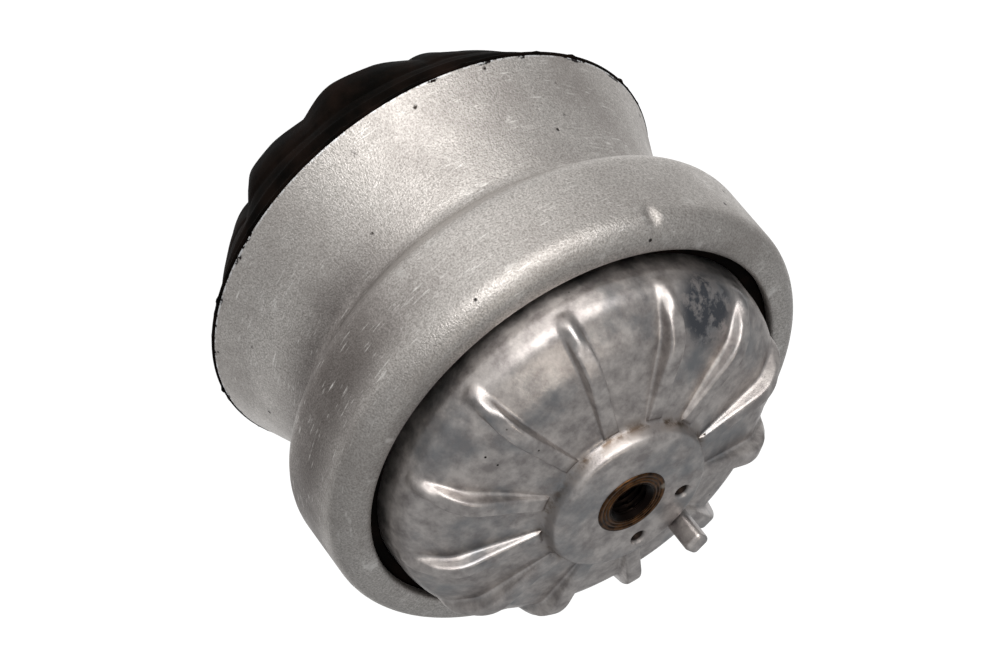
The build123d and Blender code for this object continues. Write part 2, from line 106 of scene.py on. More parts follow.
def blasted_aluminium():
    material, tree, surface, place = start_finish(
        "blasted_aluminium", "B5B2AF", {"Metallic": 1.0, "Roughness": 0.5})
    grit = add(tree, "TexNoise", {"Scale": 1 / (GRIT * MM), "Detail": 2.0, "Roughness": 0.6}, {"Vector": place})
    clouds = add(tree, "TexNoise", {"Scale": 1 / (SMUDGE * MM), "Detail": 6.0, "Roughness": 0.62}, {"Vector": place})
    drift = add(tree, "TexNoise", {"Scale": 1 / (5.0 * MM), "Detail": 5.0, "Roughness": 0.6}, {"Vector": place})
    pores = add(tree, "TexVoronoi", {"Scale": 1 / (PORE * MM), "Randomness": 1.0}, {"Vector": place})
    rare = add(tree, "MapRange", {"From Min": 0.965, "From Max": 0.975},
               {"Value": add(tree, "SeparateColor", None, {"Color": pores.outputs["Color"]}).outputs["Red"]})
    spot = add(tree, "MapRange", {"From Min": 0.10, "From Max": 0.17, "To Min": 1.0, "To Max": 0.0},
               {"Value": pores.outputs["Distance"]})
    pore = add(tree, "Math", {"operation": "MULTIPLY"}, {0: rare.outputs["Result"], 1: spot.outputs["Result"]})
    soil = add(tree, "MapRange", {"From Min": 0.46, "From Max": 0.72}, {"Value": clouds.outputs["Fac"]})
    rubbed = add(tree, "MapRange", {"From Min": 0.62, "From Max": 0.74}, {"Value": drift.outputs["Fac"]})
    speckle = add(tree, "MapRange", {"From Min": 0.30, "From Max": 0.70}, {"Value": grit.outputs["Fac"]})
    grain = add(tree, "Mix", {"data_type": "RGBA", 6: linear("98948F"), 7: linear("CEC9C5")},
                {"Factor": speckle.outputs["Result"]})
    bright = add(tree, "Mix", {"data_type": "RGBA", 7: linear("DDDAD6")},
                 {"Factor": add(tree, "Math", {"operation": "MULTIPLY", 1: 0.55},
                                {0: rubbed.outputs["Result"]}).outputs["Value"], 6: grain.outputs[2]})
    soiled = add(tree, "Mix", {"data_type": "RGBA", 7: linear("8B8581")},
                 {"Factor": add(tree, "Math", {"operation": "MULTIPLY", 1: 0.6},
                                {0: soil.outputs["Result"]}).outputs["Value"], 6: bright.outputs[2]})
    apart = add(tree, "SeparateXYZ", None, {"Vector": place})
    flat = add(tree, "CombineXYZ", None, {"X": apart.outputs["X"], "Y": apart.outputs["Y"]})
    # On that side, between 31 and 66 mm up, the colour is multiplied darker in soft patches: painted shade on that
    # side.
    facing = add(tree, "VectorMath", {"operation": "DOT_PRODUCT", 1: SHADED_SIDE},
                 {0: add(tree, "VectorMath", {"operation": "NORMALIZE"}, {0: flat.outputs["Vector"]}).outputs["Vector"]})
    beside = add(tree, "MapRange", {"interpolation_type": "SMOOTHSTEP", "From Min": 0.55, "From Max": 0.97},
                 {"Value": facing.outputs["Value"]})
    above = add(tree, "MapRange", {"interpolation_type": "SMOOTHSTEP", "From Min": 31 * MM, "From Max": 43 * MM},
                {"Value": apart.outputs["Z"]})
    below = add(tree, "MapRange", {"interpolation_type": "SMOOTHSTEP", "From Min": 66 * MM, "From Max": 57 * MM},
                {"Value": apart.outputs["Z"]})
    band = add(tree, "Math", {"operation": "MULTIPLY"}, {0: above.outputs["Result"], 1: below.outputs["Result"]})
    film_and_shade = add(tree, "Math", {"operation": "MULTIPLY"}, {0: band.outputs["Value"], 1: beside.outputs["Result"]})
    patchy = add(tree, "MapRange", {"From Min": 0.3, "From Max": 0.6, "To Min": 0.7, "To Max": 1.0},
                 {"Value": clouds.outputs["Fac"]})
    side_shaded = add(tree, "Mix", {"data_type": "RGBA", "blend_type": "MULTIPLY", 7: linear("A8A4A3")},
                 {"Factor": add(tree, "Math", {"operation": "MULTIPLY"},
                                {0: film_and_shade.outputs["Value"], 1: patchy.outputs["Result"]}).outputs["Value"],
                  6: soiled.outputs[2]})
    colour = add(tree, "Mix", {"data_type": "RGBA", 7: linear("2E2A28")},
                 {"Factor": pore.outputs["Value"], 6: side_shaded.outputs[2]})
    ragged = add(tree, "TexNoise", {"Scale": 1 / (0.9 * MM), "Detail": 4.0, "Roughness": 0.7}, {"Vector": place})
    turn = add(tree, "Math", {"operation": "ARCTAN2"}, {0: apart.outputs["Y"], 1: apart.outputs["X"]})
    along = add(tree, "Math", {"operation": "MULTIPLY", 1: 0.044 / STREAK_LENGTH}, {0: turn.outputs["Value"]})
    unrolled = add(tree, "CombineXYZ", None, {"X": along.outputs["Value"], "Y": apart.outputs["Z"]})
    strokes = add(tree, "TexNoise", {"Scale": 1 / (STREAK * MM), "Detail": 3.0, "Roughness": 0.6},
                  {"Vector": unrolled.outputs["Vector"]})
    stroke = add(tree, "MapRange", {"From Min": 0.575, "From Max": 0.68, "To Max": 0.7}, {"Value": strokes.outputs["Fac"]})
    handled = add(tree, "MapRange", {"From Min": 0.48, "From Max": 0.58}, {"Value": drift.outputs["Fac"]})
    colour = add(tree, "Mix", {"data_type": "RGBA", 7: linear("E2DFDB")},
                 {"Factor": add(tree, "Math", {"operation": "MULTIPLY"},
                                {0: stroke.outputs["Result"], 1: handled.outputs["Result"]}).outputs["Value"],
                  6: colour.outputs[2]})
    edge = add(tree, "MapRange", {"From Min": 23.2 * MM, "From Max": 20.9 * MM, "To Min": -0.30, "To Max": 0.22},
               {"Value": apart.outputs["Z"]})
    crept = add(tree, "Math", {"operation": "ADD"}, {0: edge.outputs["Result"], 1: drift.outputs["Fac"]})
    smear = add(tree, "MapRange", {"From Min": 0.66, "From Max": 0.70}, {"Value": crept.outputs["Value"]})
    colour = add(tree, "Mix", {"data_type": "RGBA", 7: linear("1C1715")},
                 {"Factor": smear.outputs["Result"], 6: colour.outputs[2]})
    rim = add(tree, "MapRange", {"From Min": 21.5 * MM, "From Max": 21.2 * MM}, {"Value": apart.outputs["Z"]})
    wear_and_shade = add(tree, "MapRange", {"From Min": 0.47, "From Max": 0.53}, {"Value": ragged.outputs["Fac"]})
    colour = add(tree, "Mix", {"data_type": "RGBA", 7: linear("D8D8D8")},
                 {"Factor": add(tree, "Math", {"operation": "MULTIPLY"},
                                {0: rim.outputs["Result"], 1: wear_and_shade.outputs["Result"]}).outputs["Value"],
                  6: colour.outputs[2]})
    for middle, size, tint in KNOCKS:
        away = add(tree, "VectorMath", {"operation": "DISTANCE", 1: Vector(middle) * MM}, {0: place})
        close = add(tree, "MapRange", {"From Min": size * MM, "From Max": 0.0, "To Min": -0.35, "To Max": 0.35},
                    {"Value": away.outputs["Value"]})
        torn = add(tree, "Math", {"operation": "ADD"}, {0: close.outputs["Result"], 1: ragged.outputs["Fac"]})
        hit = add(tree, "MapRange", {"From Min": 0.50, "From Max": 0.72}, {"Value": torn.outputs["Value"]})
        colour = add(tree, "Mix", {"data_type": "RGBA", 7: linear(tint)},
                     {"Factor": hit.outputs["Result"], 6: colour.outputs[2]})
    rough = add(tree, "MapRange", {"From Min": 0.3, "From Max": 0.7, "To Min": 0.42, "To Max": 0.60},
                {"Value": clouds.outputs["Fac"]})
    pits = add(tree, "Bump", {"Distance": 0.25 * MM, "Strength": 0.6, "invert": True},
               {"Height": pore.outputs["Value"]})
    sand = add(tree, "Bump", {"Distance": 0.10 * MM, "Strength": 1.0},
               {"Height": grit.outputs["Fac"], "Normal": pits.outputs["Normal"]})
    tree.links.new(colour.outputs[2], surface.inputs["Base Color"])
    tree.links.new(rough.outputs["Result"], surface.inputs["Roughness"])
    tree.links.new(sand.outputs["Normal"], surface.inputs["Normal"])
    return material


BLASTED = blasted_aluminium()
print("grain drawn at", GRIT, "mm, smudges about", SMUDGE, "mm")

# %% [markdown]
# The dome is die-cast aluminium as it left the die. The skin is smoother than the blasted spool, so it shows
# clear bright bands, but it is mottled: the melt cooled in patches of a centimetre, some dull, some dark and
# nearly polished. Fine scratches and a few pinholes lie on it, and brown dirt sits in the corner at the hub.

# %% Die-cast aluminium
PATCH = 11.0
MOTTLE = 3.2
HUB_FOOT_RADIUS = 15.7
# Middle of a dark patch on the dome's shoulder beside the lip: painted shade next to the gap.
LIP_SHADE_SPOT = (-9.0, 34.0, 76.5)


def cast_aluminium():
    material, tree, surface, place = start_finish(
        "cast_aluminium", "A8A4A2", {"Metallic": 1.0, "Roughness": 0.36})
    patch = add(tree, "TexNoise", {"Scale": 1 / (PATCH * MM), "Detail": 5.0, "Roughness": 0.6}, {"Vector": place})
    mottle = add(tree, "TexNoise", {"Scale": 1 / (MOTTLE * MM), "Detail": 6.0, "Roughness": 0.65}, {"Vector": place})
    skin = add(tree, "TexNoise", {"Scale": 1 / (0.6 * MM), "Detail": 3.0}, {"Vector": place})
    squeezed = add(tree, "Mapping", {"Scale": (1.0, 0.08, 0.3), "Rotation": (0.2, 0.0, 0.6)}, {"Vector": place})
    scratch = add(tree, "TexNoise", {"Scale": 1 / (0.35 * MM), "Detail": 2.0}, {"Vector": squeezed.outputs["Vector"]})
    dull = add(tree, "MapRange", {"From Min": 0.36, "From Max": 0.64}, {"Value": mottle.outputs["Fac"]})
    polished = add(tree, "MapRange", {"From Min": 0.50, "From Max": 0.68}, {"Value": patch.outputs["Fac"]})
    pores = add(tree, "TexVoronoi", {"Scale": 1 / (2.2 * MM)}, {"Vector": place})
    rare = add(tree, "MapRange", {"From Min": 0.955, "From Max": 0.965},
               {"Value": add(tree, "SeparateColor", None, {"Color": pores.outputs["Color"]}).outputs["Green"]})
    spot = add(tree, "MapRange", {"From Min": 0.07, "From Max": 0.13, "To Min": 1.0, "To Max": 0.0},
               {"Value": pores.outputs["Distance"]})
    pore = add(tree, "Math", {"operation": "MULTIPLY"}, {0: rare.outputs["Result"], 1: spot.outputs["Result"]})
    apart = add(tree, "SeparateXYZ", None, {"Vector": place})
    flat = add(tree, "CombineXYZ", None, {"X": apart.outputs["X"], "Y": apart.outputs["Y"]})
    reach = add(tree, "VectorMath", {"operation": "LENGTH"}, {0: flat.outputs["Vector"]})
    near = add(tree, "MapRange", {"From Min": (HUB_FOOT_RADIUS + 1.6) * MM, "From Max": (HUB_FOOT_RADIUS - 0.2) * MM},
               {"Value": reach.outputs["Value"]})
    below = add(tree, "MapRange", {"From Min": 85.4 * MM, "From Max": 83.2 * MM}, {"Value": apart.outputs["Z"]})
    corner = add(tree, "Math", {"operation": "MULTIPLY"}, {0: near.outputs["Result"], 1: below.outputs["Result"]})
    dirt = add(tree, "Math", {"operation": "MULTIPLY"},
               {0: corner.outputs["Value"], 1: add(tree, "MapRange", {"From Min": 0.42, "From Max": 0.62},
                                                   {"Value": mottle.outputs["Fac"]}).outputs["Result"]})
    metal = add(tree, "Mix", {"data_type": "RGBA", 6: linear("97918F"), 7: linear("C8C2BE")},
                {"Factor": dull.outputs["Result"]})
    dark = add(tree, "Mix", {"data_type": "RGBA", 7: linear("87888A")},
               {"Factor": polished.outputs["Result"], 6: metal.outputs[2]})
    pitted = add(tree, "Mix", {"data_type": "RGBA", 7: linear("2B2725")},
                 {"Factor": pore.outputs["Value"], 6: dark.outputs[2]})
    # A dark, ragged patch on the shoulder next to the lip's gap is painted shade, where the gap darkens the dome.
    away = add(tree, "VectorMath", {"operation": "DISTANCE", 1: Vector(LIP_SHADE_SPOT) * MM}, {0: place})
    wear_and_shade = add(tree, "MapRange", {"interpolation_type": "SMOOTHSTEP", "From Min": 9.0 * MM, "From Max": 4.5 * MM},
               {"Value": away.outputs["Value"]})
    ragged = add(tree, "MapRange", {"From Min": 0.40, "From Max": 0.52}, {"Value": mottle.outputs["Fac"]})
    lip_shaded = add(tree, "Mix", {"data_type": "RGBA", 7: linear("55575C")},
                    {"Factor": add(tree, "Math", {"operation": "MULTIPLY"},
                                   {0: wear_and_shade.outputs["Result"], 1: ragged.outputs["Result"]}).outputs["Value"],
                     6: pitted.outputs[2]})
    # Below the hub face and inside 13.6 mm, which is the inside of the two dimples, the metal is painted near black:
    # painted shade in the holes.
    sunk = add(tree, "MapRange", {"From Min": 85.75 * MM, "From Max": 85.3 * MM}, {"Value": apart.outputs["Z"]})
    inward = add(tree, "MapRange", {"From Min": 14.2 * MM, "From Max": 13.6 * MM}, {"Value": reach.outputs["Value"]})
    dimple_shade = add(tree, "Math", {"operation": "MULTIPLY"}, {0: sunk.outputs["Result"], 1: inward.outputs["Result"]})
    dimples_shaded = add(tree, "Mix", {"data_type": "RGBA", 7: linear("2A2422")},
                    {"Factor": dimple_shade.outputs["Value"], 6: lip_shaded.outputs[2]})
    colour = add(tree, "Mix", {"data_type": "RGBA", 7: linear("5A4C40")},
                 {"Factor": dirt.outputs["Value"], 6: dimples_shaded.outputs[2]})
    base = add(tree, "MapRange", {"From Min": 0.35, "From Max": 0.65, "To Min": 0.46, "To Max": 0.27},
               {"Value": patch.outputs["Fac"]})
    rough = add(tree, "Math", {"operation": "MULTIPLY_ADD", 1: 0.10},
                {0: mottle.outputs["Fac"], 2: base.outputs["Result"]})
    waves = add(tree, "Bump", {"Distance": 0.10 * MM, "Strength": 0.7}, {"Height": mottle.outputs["Fac"]})
    fine = add(tree, "Bump", {"Distance": 0.025 * MM, "Strength": 0.8},
               {"Height": skin.outputs["Fac"], "Normal": waves.outputs["Normal"]})
    lines = add(tree, "Bump", {"Distance": 0.012 * MM, "Strength": 0.6},
                {"Height": scratch.outputs["Fac"], "Normal": fine.outputs["Normal"]})
    tree.links.new(colour.outputs[2], surface.inputs["Base Color"])
    tree.links.new(rough.outputs["Value"], surface.inputs["Roughness"])
    tree.links.new(lines.outputs["Normal"], surface.inputs["Normal"])
    return material


CAST = cast_aluminium()
print("cast patches about", PATCH, "mm, mottle", MOTTLE, "mm")

# %% [markdown]
# The spring is natural rubber, moulded and cured on the metal. Carbon black makes it near black, and age gives
# it a brown tint and a thin grey bloom on what stands out, so it has a soft sheen and no mirror. Rubber's index
# of refraction is about 1.52.

# %% Moulded natural rubber
def moulded_rubber():
    material, tree, surface, place = start_finish(
        "moulded_rubber", "15100F", {"Metallic": 0.0, "Roughness": 0.7, "IOR": 1.52, "Specular IOR Level": 0.02})
    bloom = add(tree, "TexNoise", {"Scale": 1 / (8.0 * MM), "Detail": 6.0, "Roughness": 0.62}, {"Vector": place})
    skin = add(tree, "TexNoise", {"Scale": 1 / (0.9 * MM), "Detail": 4.0}, {"Vector": place})
    dusty = add(tree, "MapRange", {"From Min": 0.42, "From Max": 0.72}, {"Value": bloom.outputs["Fac"]})
    colour = add(tree, "Mix", {"data_type": "RGBA", 6: linear("040302"), 7: linear("19110D")},
                 {"Factor": dusty.outputs["Result"]})
    rough = add(tree, "MapRange", {"From Min": 0.3, "From Max": 0.7, "To Min": 0.60, "To Max": 0.80},
                {"Value": bloom.outputs["Fac"]})
    folds = add(tree, "Bump", {"Distance": 0.35 * MM, "Strength": 0.8}, {"Height": bloom.outputs["Fac"]})
    fine = add(tree, "Bump", {"Distance": 0.05 * MM, "Strength": 0.8},
               {"Height": skin.outputs["Fac"], "Normal": folds.outputs["Normal"]})
    tree.links.new(colour.outputs[2], surface.inputs["Base Color"])
    tree.links.new(rough.outputs["Result"], surface.inputs["Roughness"])
    tree.links.new(fine.outputs["Normal"], surface.inputs["Normal"])
    return material


RUBBER = moulded_rubber()

# %% [markdown]
# The bushes are turned steel with yellow zinc plating that has aged to brown. Turning
# leaves rings, which are real form in the mesh below; the finish adds the uneven brown of old plating, and the tapped
# bore is painted near black as painted shade.

# %% Aged zinc-plated steel
TURNING_STEP = 0.66
CHIP = (3.5, 5.4, 86.1)


def zinc_plated_steel():
    material, tree, surface, place = start_finish(
        "zinc_plated_steel", "5A4430", {"Metallic": 1.0, "Roughness": 0.38})
    stain = add(tree, "TexNoise", {"Scale": 1 / (1.6 * MM), "Detail": 5.0, "Roughness": 0.6}, {"Vector": place})
    skin = add(tree, "TexNoise", {"Scale": 1 / (0.3 * MM), "Detail": 2.0}, {"Vector": place})
    apart = add(tree, "SeparateXYZ", None, {"Vector": place})
    flat = add(tree, "CombineXYZ", None, {"X": apart.outputs["X"], "Y": apart.outputs["Y"]})
    reach = add(tree, "VectorMath", {"operation": "LENGTH"}, {0: flat.outputs["Vector"]})
    turns = add(tree, "Math", {"operation": "MULTIPLY", 1: 2 * pi / (TURNING_STEP * MM)}, {0: reach.outputs["Value"]})
    rings = add(tree, "Math", {"operation": "SINE"}, {0: turns.outputs["Value"]})
    uneven = add(tree, "Math", {"operation": "MULTIPLY_ADD", 1: 0.10}, {0: rings.outputs["Value"], 2: stain.outputs["Fac"]})
    tone = add(tree, "MapRange", {"From Min": 0.30, "From Max": 0.75}, {"Value": uneven.outputs["Value"]})
    plated = add(tree, "Mix", {"data_type": "RGBA", 6: linear("1F150F"), 7: linear("6E4D30")},
                 {"Factor": tone.outputs["Result"]})
    # Towards the tapped bore, inside 4.75 mm, the colour is painted near black: painted shade in the hole.
    bore_shade = add(tree, "MapRange", {"From Min": 4.75 * MM, "From Max": 4.15 * MM}, {"Value": reach.outputs["Value"]})
    colour = add(tree, "Mix", {"data_type": "RGBA", 7: linear("15100E")},
                 {"Factor": bore_shade.outputs["Result"], 6: plated.outputs[2]})
    away = add(tree, "VectorMath", {"operation": "DISTANCE", 1: Vector(CHIP) * MM}, {0: place})
    chipped = add(tree, "MapRange", {"From Min": 0.95 * MM, "From Max": 0.45 * MM}, {"Value": away.outputs["Value"]})
    colour = add(tree, "Mix", {"data_type": "RGBA", 7: linear("8C8378")},
                 {"Factor": chipped.outputs["Result"], 6: colour.outputs[2]})
    rough = add(tree, "MapRange", {"From Min": 0.3, "From Max": 0.7, "To Min": 0.28, "To Max": 0.46},
                {"Value": stain.outputs["Fac"]})
    fine = add(tree, "Bump", {"Distance": 0.02 * MM, "Strength": 0.7}, {"Height": skin.outputs["Fac"]})
    tree.links.new(colour.outputs[2], surface.inputs["Base Color"])
    tree.links.new(rough.outputs["Result"], surface.inputs["Roughness"])
    tree.links.new(fine.outputs["Normal"], surface.inputs["Normal"])
    return material


ZINC = zinc_plated_steel()

# %% [markdown]
# The hidden plates and rings are pressed steel, the core is turned aluminium, and the membranes are the same
# rubber as the spring. They show only when the mount is taken apart, so their finishes stay short: a tone, a
# roughness that wanders a little, and the fine skin of the making.

# %% Pressed steel and turned aluminium
def plain_metal(name, dark, light, low, high, ring_step):
    """A bare metal whose tone and roughness wander, with fine turning or rolling lines ring_step mm apart."""
    material, tree, surface, place = start_finish(name, light, {"Metallic": 1.0, "Roughness": low})
    wander = add(tree, "TexNoise", {"Scale": 1 / (4.0 * MM), "Detail": 5.0}, {"Vector": place})
    apart = add(tree, "SeparateXYZ", None, {"Vector": place})
    flat = add(tree, "CombineXYZ", None, {"X": apart.outputs["X"], "Y": apart.outputs["Y"]})
    reach = add(tree, "VectorMath", {"operation": "LENGTH"}, {0: flat.outputs["Vector"]})
    turns = add(tree, "Math", {"operation": "MULTIPLY", 1: 2 * pi / (ring_step * MM)}, {0: reach.outputs["Value"]})
    rings = add(tree, "Math", {"operation": "SINE"}, {0: turns.outputs["Value"]})
    colour = add(tree, "Mix", {"data_type": "RGBA", 6: linear(dark), 7: linear(light)},
                 {"Factor": wander.outputs["Fac"]})
    rough = add(tree, "MapRange", {"From Min": 0.3, "From Max": 0.7, "To Min": low, "To Max": high},
                {"Value": wander.outputs["Fac"]})
    lines = add(tree, "Bump", {"Distance": 0.008 * MM, "Strength": 0.5}, {"Height": rings.outputs["Value"]})
    tree.links.new(colour.outputs[2], surface.inputs["Base Color"])
    tree.links.new(rough.outputs["Result"], surface.inputs["Roughness"])
    tree.links.new(lines.outputs["Normal"], surface.inputs["Normal"])
    return material


STEEL = plain_metal("pressed_steel", "77777A", "9C9C9E", 0.30, 0.48, 0.8)
MACHINED = plain_metal("turned_aluminium", "9B9996", "C2C0BD", 0.24, 0.42, 0.5)

finishes = {
    "outer_housing": BLASTED, "dome_cover": CAST, "nozzle_body": CAST, "nozzle_cover": CAST,
    "main_spring": RUBBER, "edge_seal": RUBBER, "bellows": RUBBER, "decoupler_membrane": RUBBER,
    "dome_thread_bush": ZINC, "core_thread_bush": ZINC, "spring_core": MACHINED,
    "stop_disc": STEEL, "stop_disc_screw": STEEL, "seat_ring": STEEL, "bellows_ring": STEEL, "nozzle_rivets": STEEL,
}
for name, material in finishes.items():
    for place in nodes[name].material_slots:
        place.material = material
print("finished nodes", len(finishes))

# %% [markdown]
# Nearly every piece of this mount was turned or moulded round one axis. So its mesh starts as a lathe form: a
# line of points in radius and height, whose corners are rounded as on the real piece, is swept round the axis.
# The line is closed, so the skin is closed too. Small form, such as ribs, lobes, threads and dents, then moves
# the points of that grid. This keeps the faces even, which a cut or joined mesh would not.

# %% Helpers for turned pieces
def rounded(points, step):
    """Closed line through (radius, height, rounding) corners, as points about step mm apart."""
    corners = [np.array(p[:2], float) for p in points]
    ends = []
    for index, (_, _, size) in enumerate(points):
        here, before, after = corners[index], corners[index - 1], corners[(index + 1) % len(points)]
        a, b = before - here, after - here
        a, b = a / np.linalg.norm(a), b / np.linalg.norm(b)
        half = np.arccos(np.clip(a @ b, -1, 1)) / 2
        reach = size / tan(half) if size else 0.0
        middle = (a + b) / max(np.linalg.norm(a + b), 1e-9)
        centre = here + middle * (size / sin(half))
        count = max(2, int((pi - 2 * half) * size / step) + 2) if size else 1
        start, stop = here + a * reach - centre, here + b * reach - centre
        turn = (np.arctan2(stop[1], stop[0]) - np.arctan2(start[1], start[0]) + pi) % (2 * pi) - pi
        angles = np.arctan2(start[1], start[0]) + np.linspace(0, turn, count)
        arc = centre + size * np.stack([np.cos(angles), np.sin(angles)], 1) if size else here[None]
        ends.append(arc)
    line = []
    for index, arc in enumerate(ends):
        line.extend(arc)
        gap = ends[(index + 1) % len(ends)][0] - arc[-1]
        count = int(np.linalg.norm(gap) / step)
        line.extend(arc[-1] + gap * k / (count + 1) for k in range(1, count + 1))
    return np.array(line)


def thinned(line, fine, stride):
    """The line with all its fine points and each stride-th of the rest, which nobody sees."""
    keep = fine.copy()
    keep[::stride] = True
    return line[keep]


def lathe_grid(line, angles):
    """Arrays of radius, height and angle, one row for each ring and one column for each angle."""
    radius = np.repeat(line[:, :1], len(angles), 1)
    height = np.repeat(line[:, 1:], len(angles), 1)
    return radius, height, np.repeat(angles[None], len(line), 0)


def skin(name, radius, height, angle, sharp=40.0):
    """Closed mesh object from such arrays in mm, faces outward, smooth but for edges sharper than an angle."""
    rows, columns = radius.shape
    place = np.stack([radius * np.cos(angle), radius * np.sin(angle), height], -1).reshape(-1, 3) * MM
    ring, turn = np.meshgrid(np.arange(rows), np.arange(columns), indexing="ij")
    next_ring, next_turn = (ring + 1) % rows, (turn + 1) % columns
    faces = np.stack([ring * columns + turn, ring * columns + next_turn,
                      next_ring * columns + next_turn, next_ring * columns + turn], -1).reshape(-1, 4)
    r, z = radius[:, 0], height[:, 0]
    if np.sum(r * np.roll(z, -1) - np.roll(r, -1) * z) < 0:
        faces = faces[:, ::-1]
    mesh = bpy.data.meshes.new(name)
    mesh.from_pydata(place.tolist(), [], faces.tolist())
    mesh.shade_smooth()
    mesh.set_sharp_from_angle(angle=radians(sharp))
    piece = bpy.data.objects.new(name, mesh)
    bpy.context.collection.objects.link(piece)
    return piece


def dress(piece, material, node):
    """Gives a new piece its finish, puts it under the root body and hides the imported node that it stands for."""
    piece.data.materials.append(material)
    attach(piece, "root")
    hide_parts(node)
    print(piece.name, "faces", len(piece.data.polygons))
    return piece


def ease(value, low, high):
    """Smooth step from 0 at low to 1 at high."""
    t = np.clip((value - low) / (high - low), 0, 1)
    return t * t * (3 - 2 * t)


def waves(angle, height, size, seed, count=6):
    """Gentle unevenness of about size mm, made of a few sine waves that close round the axis."""
    draw = np.random.default_rng(seed)
    total = np.zeros_like(angle)
    for _ in range(count):
        turns, rise = draw.integers(2, 14), draw.uniform(0.02, 0.35)
        total += np.sin(turns * angle + rise * height + draw.uniform(0, 2 * pi))
    return total * size / count


def around(count):
    """Evenly spaced angles of a full turn."""
    return np.linspace(0, 2 * pi, count, endpoint=False)


# %% [markdown]
# The spool: a wall 2.6 mm thick that flares at one end, narrows to a waist and opens to the bell, where its lip
# was rolled inward over the dome. The line below runs up the outside, over the lip and back down the inside.
# A knock left a small dent near the lip, and the casting is never quite round, so a wave of a twentieth of a
# millimetre and the dent move the grid.

# %% Outer housing
WALL = 2.6
LIP = 68.2231
FLANGE = 20.9
WAIST = 43.2
BELL = 46.5
SEAT = 52.2231

spool = [
    (44.7, FLANGE, 0.15), (40.5, 31.4, 60.0), (37.8, WAIST, 3.2), (BELL, 50.4, 3.5), (BELL, LIP, 4.5), (40.0, LIP, 0.9),
    (40.0, LIP - WALL, 0.9), (BELL - WALL, LIP - WALL, 1.9), (BELL - WALL, 51.62, 0.9), (35.2, 44.42, 7.6),
    (38.08, 30.43, 57.4), (41.9, FLANGE, 0.1),
]
radius, height, angle = lathe_grid(rounded(spool, 0.62), around(440))
dent_turn, dent_height, dent_size = radians(121.6), 65.2, 1.15
away = np.hypot((angle - dent_turn) * radius, (height - dent_height) * 0.7)
outside = radius > 44.5
radius = radius - np.where(outside, 0.75 * np.exp(-(away / dent_size) ** 4), 0) + waves(angle, height, 0.03, 11) - 0.03
housing = dress(skin("housing_skin", radius, height, angle), BLASTED, "outer_housing")

# %% [markdown]
# The dome has twelve ribs that spring from the hub's foot, stand up to 3 mm above the cone and run out over the
# shoulder. In the die their sides were drafted by eight degrees, and all their edges were rounded. Here a rib's
# crest is a line of its own, and each ring of the dome's grid asks how far along its normal that crest lies.
# The grid's columns run beside the ribs at fixed distances in mm, so that edge, flank and root stay crisp.

# %% Die-cast dome
HUB_FACE = 85.9231
FOOT = LIP + 14.3
RIBS = 12
RIB_HALF = 1.4
RIB_DRAFT = 8.0
RIB_EDGE = 0.65
RIB_ROOT = 0.55
DIMPLE = 1.65

outer = [
    (6.66, HUB_FACE, 0.0), (14.8, HUB_FACE, 1.2), (HUB_FOOT_RADIUS, FOOT, 1.5), (30.8, LIP + 10.35, 8.0),
    (36.9, LIP + 5.4, 5.0), (37.6, LIP + 1.8, 4.0), (37.8, 64.82, 0.3), (43.75, 64.82, 1.8), (43.75, 62.43, 0.2), (34.85, 62.43, 0.2),
    (34.5, 72.3, 3.0), (26.0, 74.9, 0.0), (10.25, 79.6, 1.6), (10.25, 70.7, 0.3), (0.02, 70.7, 0.0),
    (0.02, 72.17, 0.0), (6.66, 72.17, 0.1),
]
line = rounded(outer, 0.40)
last = int(np.argmax(line[:, 1] < 65.0))
line = thinned(line, np.arange(len(line)) < last, 4)
step = np.roll(line, -1, 0) - np.roll(line, 1, 0)
normal = np.stack([-step[:, 1], step[:, 0]], 1) / np.linalg.norm(step, axis=1)[:, None]
ribbed = (np.arange(len(line)) < last - 3) & (line[:, 0] > 15.05)

crest = rounded([(15.6, FOOT + 0.6, 0), (31.6, FOOT - 1.0, 9.0), (38.0, FOOT - 7.6, 7.0), (37.2, FOOT - 13.0, 0), (20, 66, 0)], 0.05)


def rib_rise(here, outward):
    """Distance from a point of the dome to the rib's crest along the dome's normal."""
    offset = crest - here
    along = offset @ np.array([outward[1], -outward[0]])
    up = offset @ outward
    hit = (np.abs(along) < 0.06) & (up > 0)
    return up[hit].min() if hit.any() else 0.0


def rib_nose(aside, rise):
    """Soft hump that a rib fades into at its outer end."""
    return rise * (0.5 + 0.5 * np.cos(pi * np.clip(aside / 2.3, 0, 1)))


def rib_section(aside, rise):
    """Height of a rib's rounded cross-section at distances from its middle."""
    fit = min(1.0, rise / 1.7)
    flank = RIB_HALF + rise * tan(radians(RIB_DRAFT))
    section = rounded([(0, rise, 0), (RIB_HALF, rise, RIB_EDGE * fit), (flank, 0, RIB_ROOT * fit), (9, 0, 0),
                       (9, -9, 0), (0, -9, 0)], 0.05)
    top = section[: int(np.argmax(section[:, 0] >= 8.99)) + 1]
    return np.interp(aside, top[:, 0], top[:, 1])


if np.dot(normal[last // 2], [0.3, 1.0]) < 0:
    normal = -normal
ribbed &= (normal[:, 1] > 0.86) | (line[:, 0] > 20)
rises = np.array([rib_rise(p, n) if on else 0.0 for p, n, on in zip(line, normal, ribbed)])
beside = np.array([0, 0.35, 0.62, 0.8, 0.96, 1.1, 1.22, 1.32, 1.42, 1.52, 1.63, 1.76, 1.92, 2.12, 2.4, 2.8, 3.3])
HALF_TURN = pi / RIBS


def column_offsets(radius):
    """Distances beside a rib's middle, for half a sector at a radius, fixed in mm where the rib stands."""
    shrink = min(1.0, radius / 15.0)
    edge = radius * sin(HALF_TURN)
    rest = beside[-1] * shrink + (edge - beside[-1] * shrink) * np.arange(1, 7) / 6
    return np.concatenate([beside * shrink, rest])


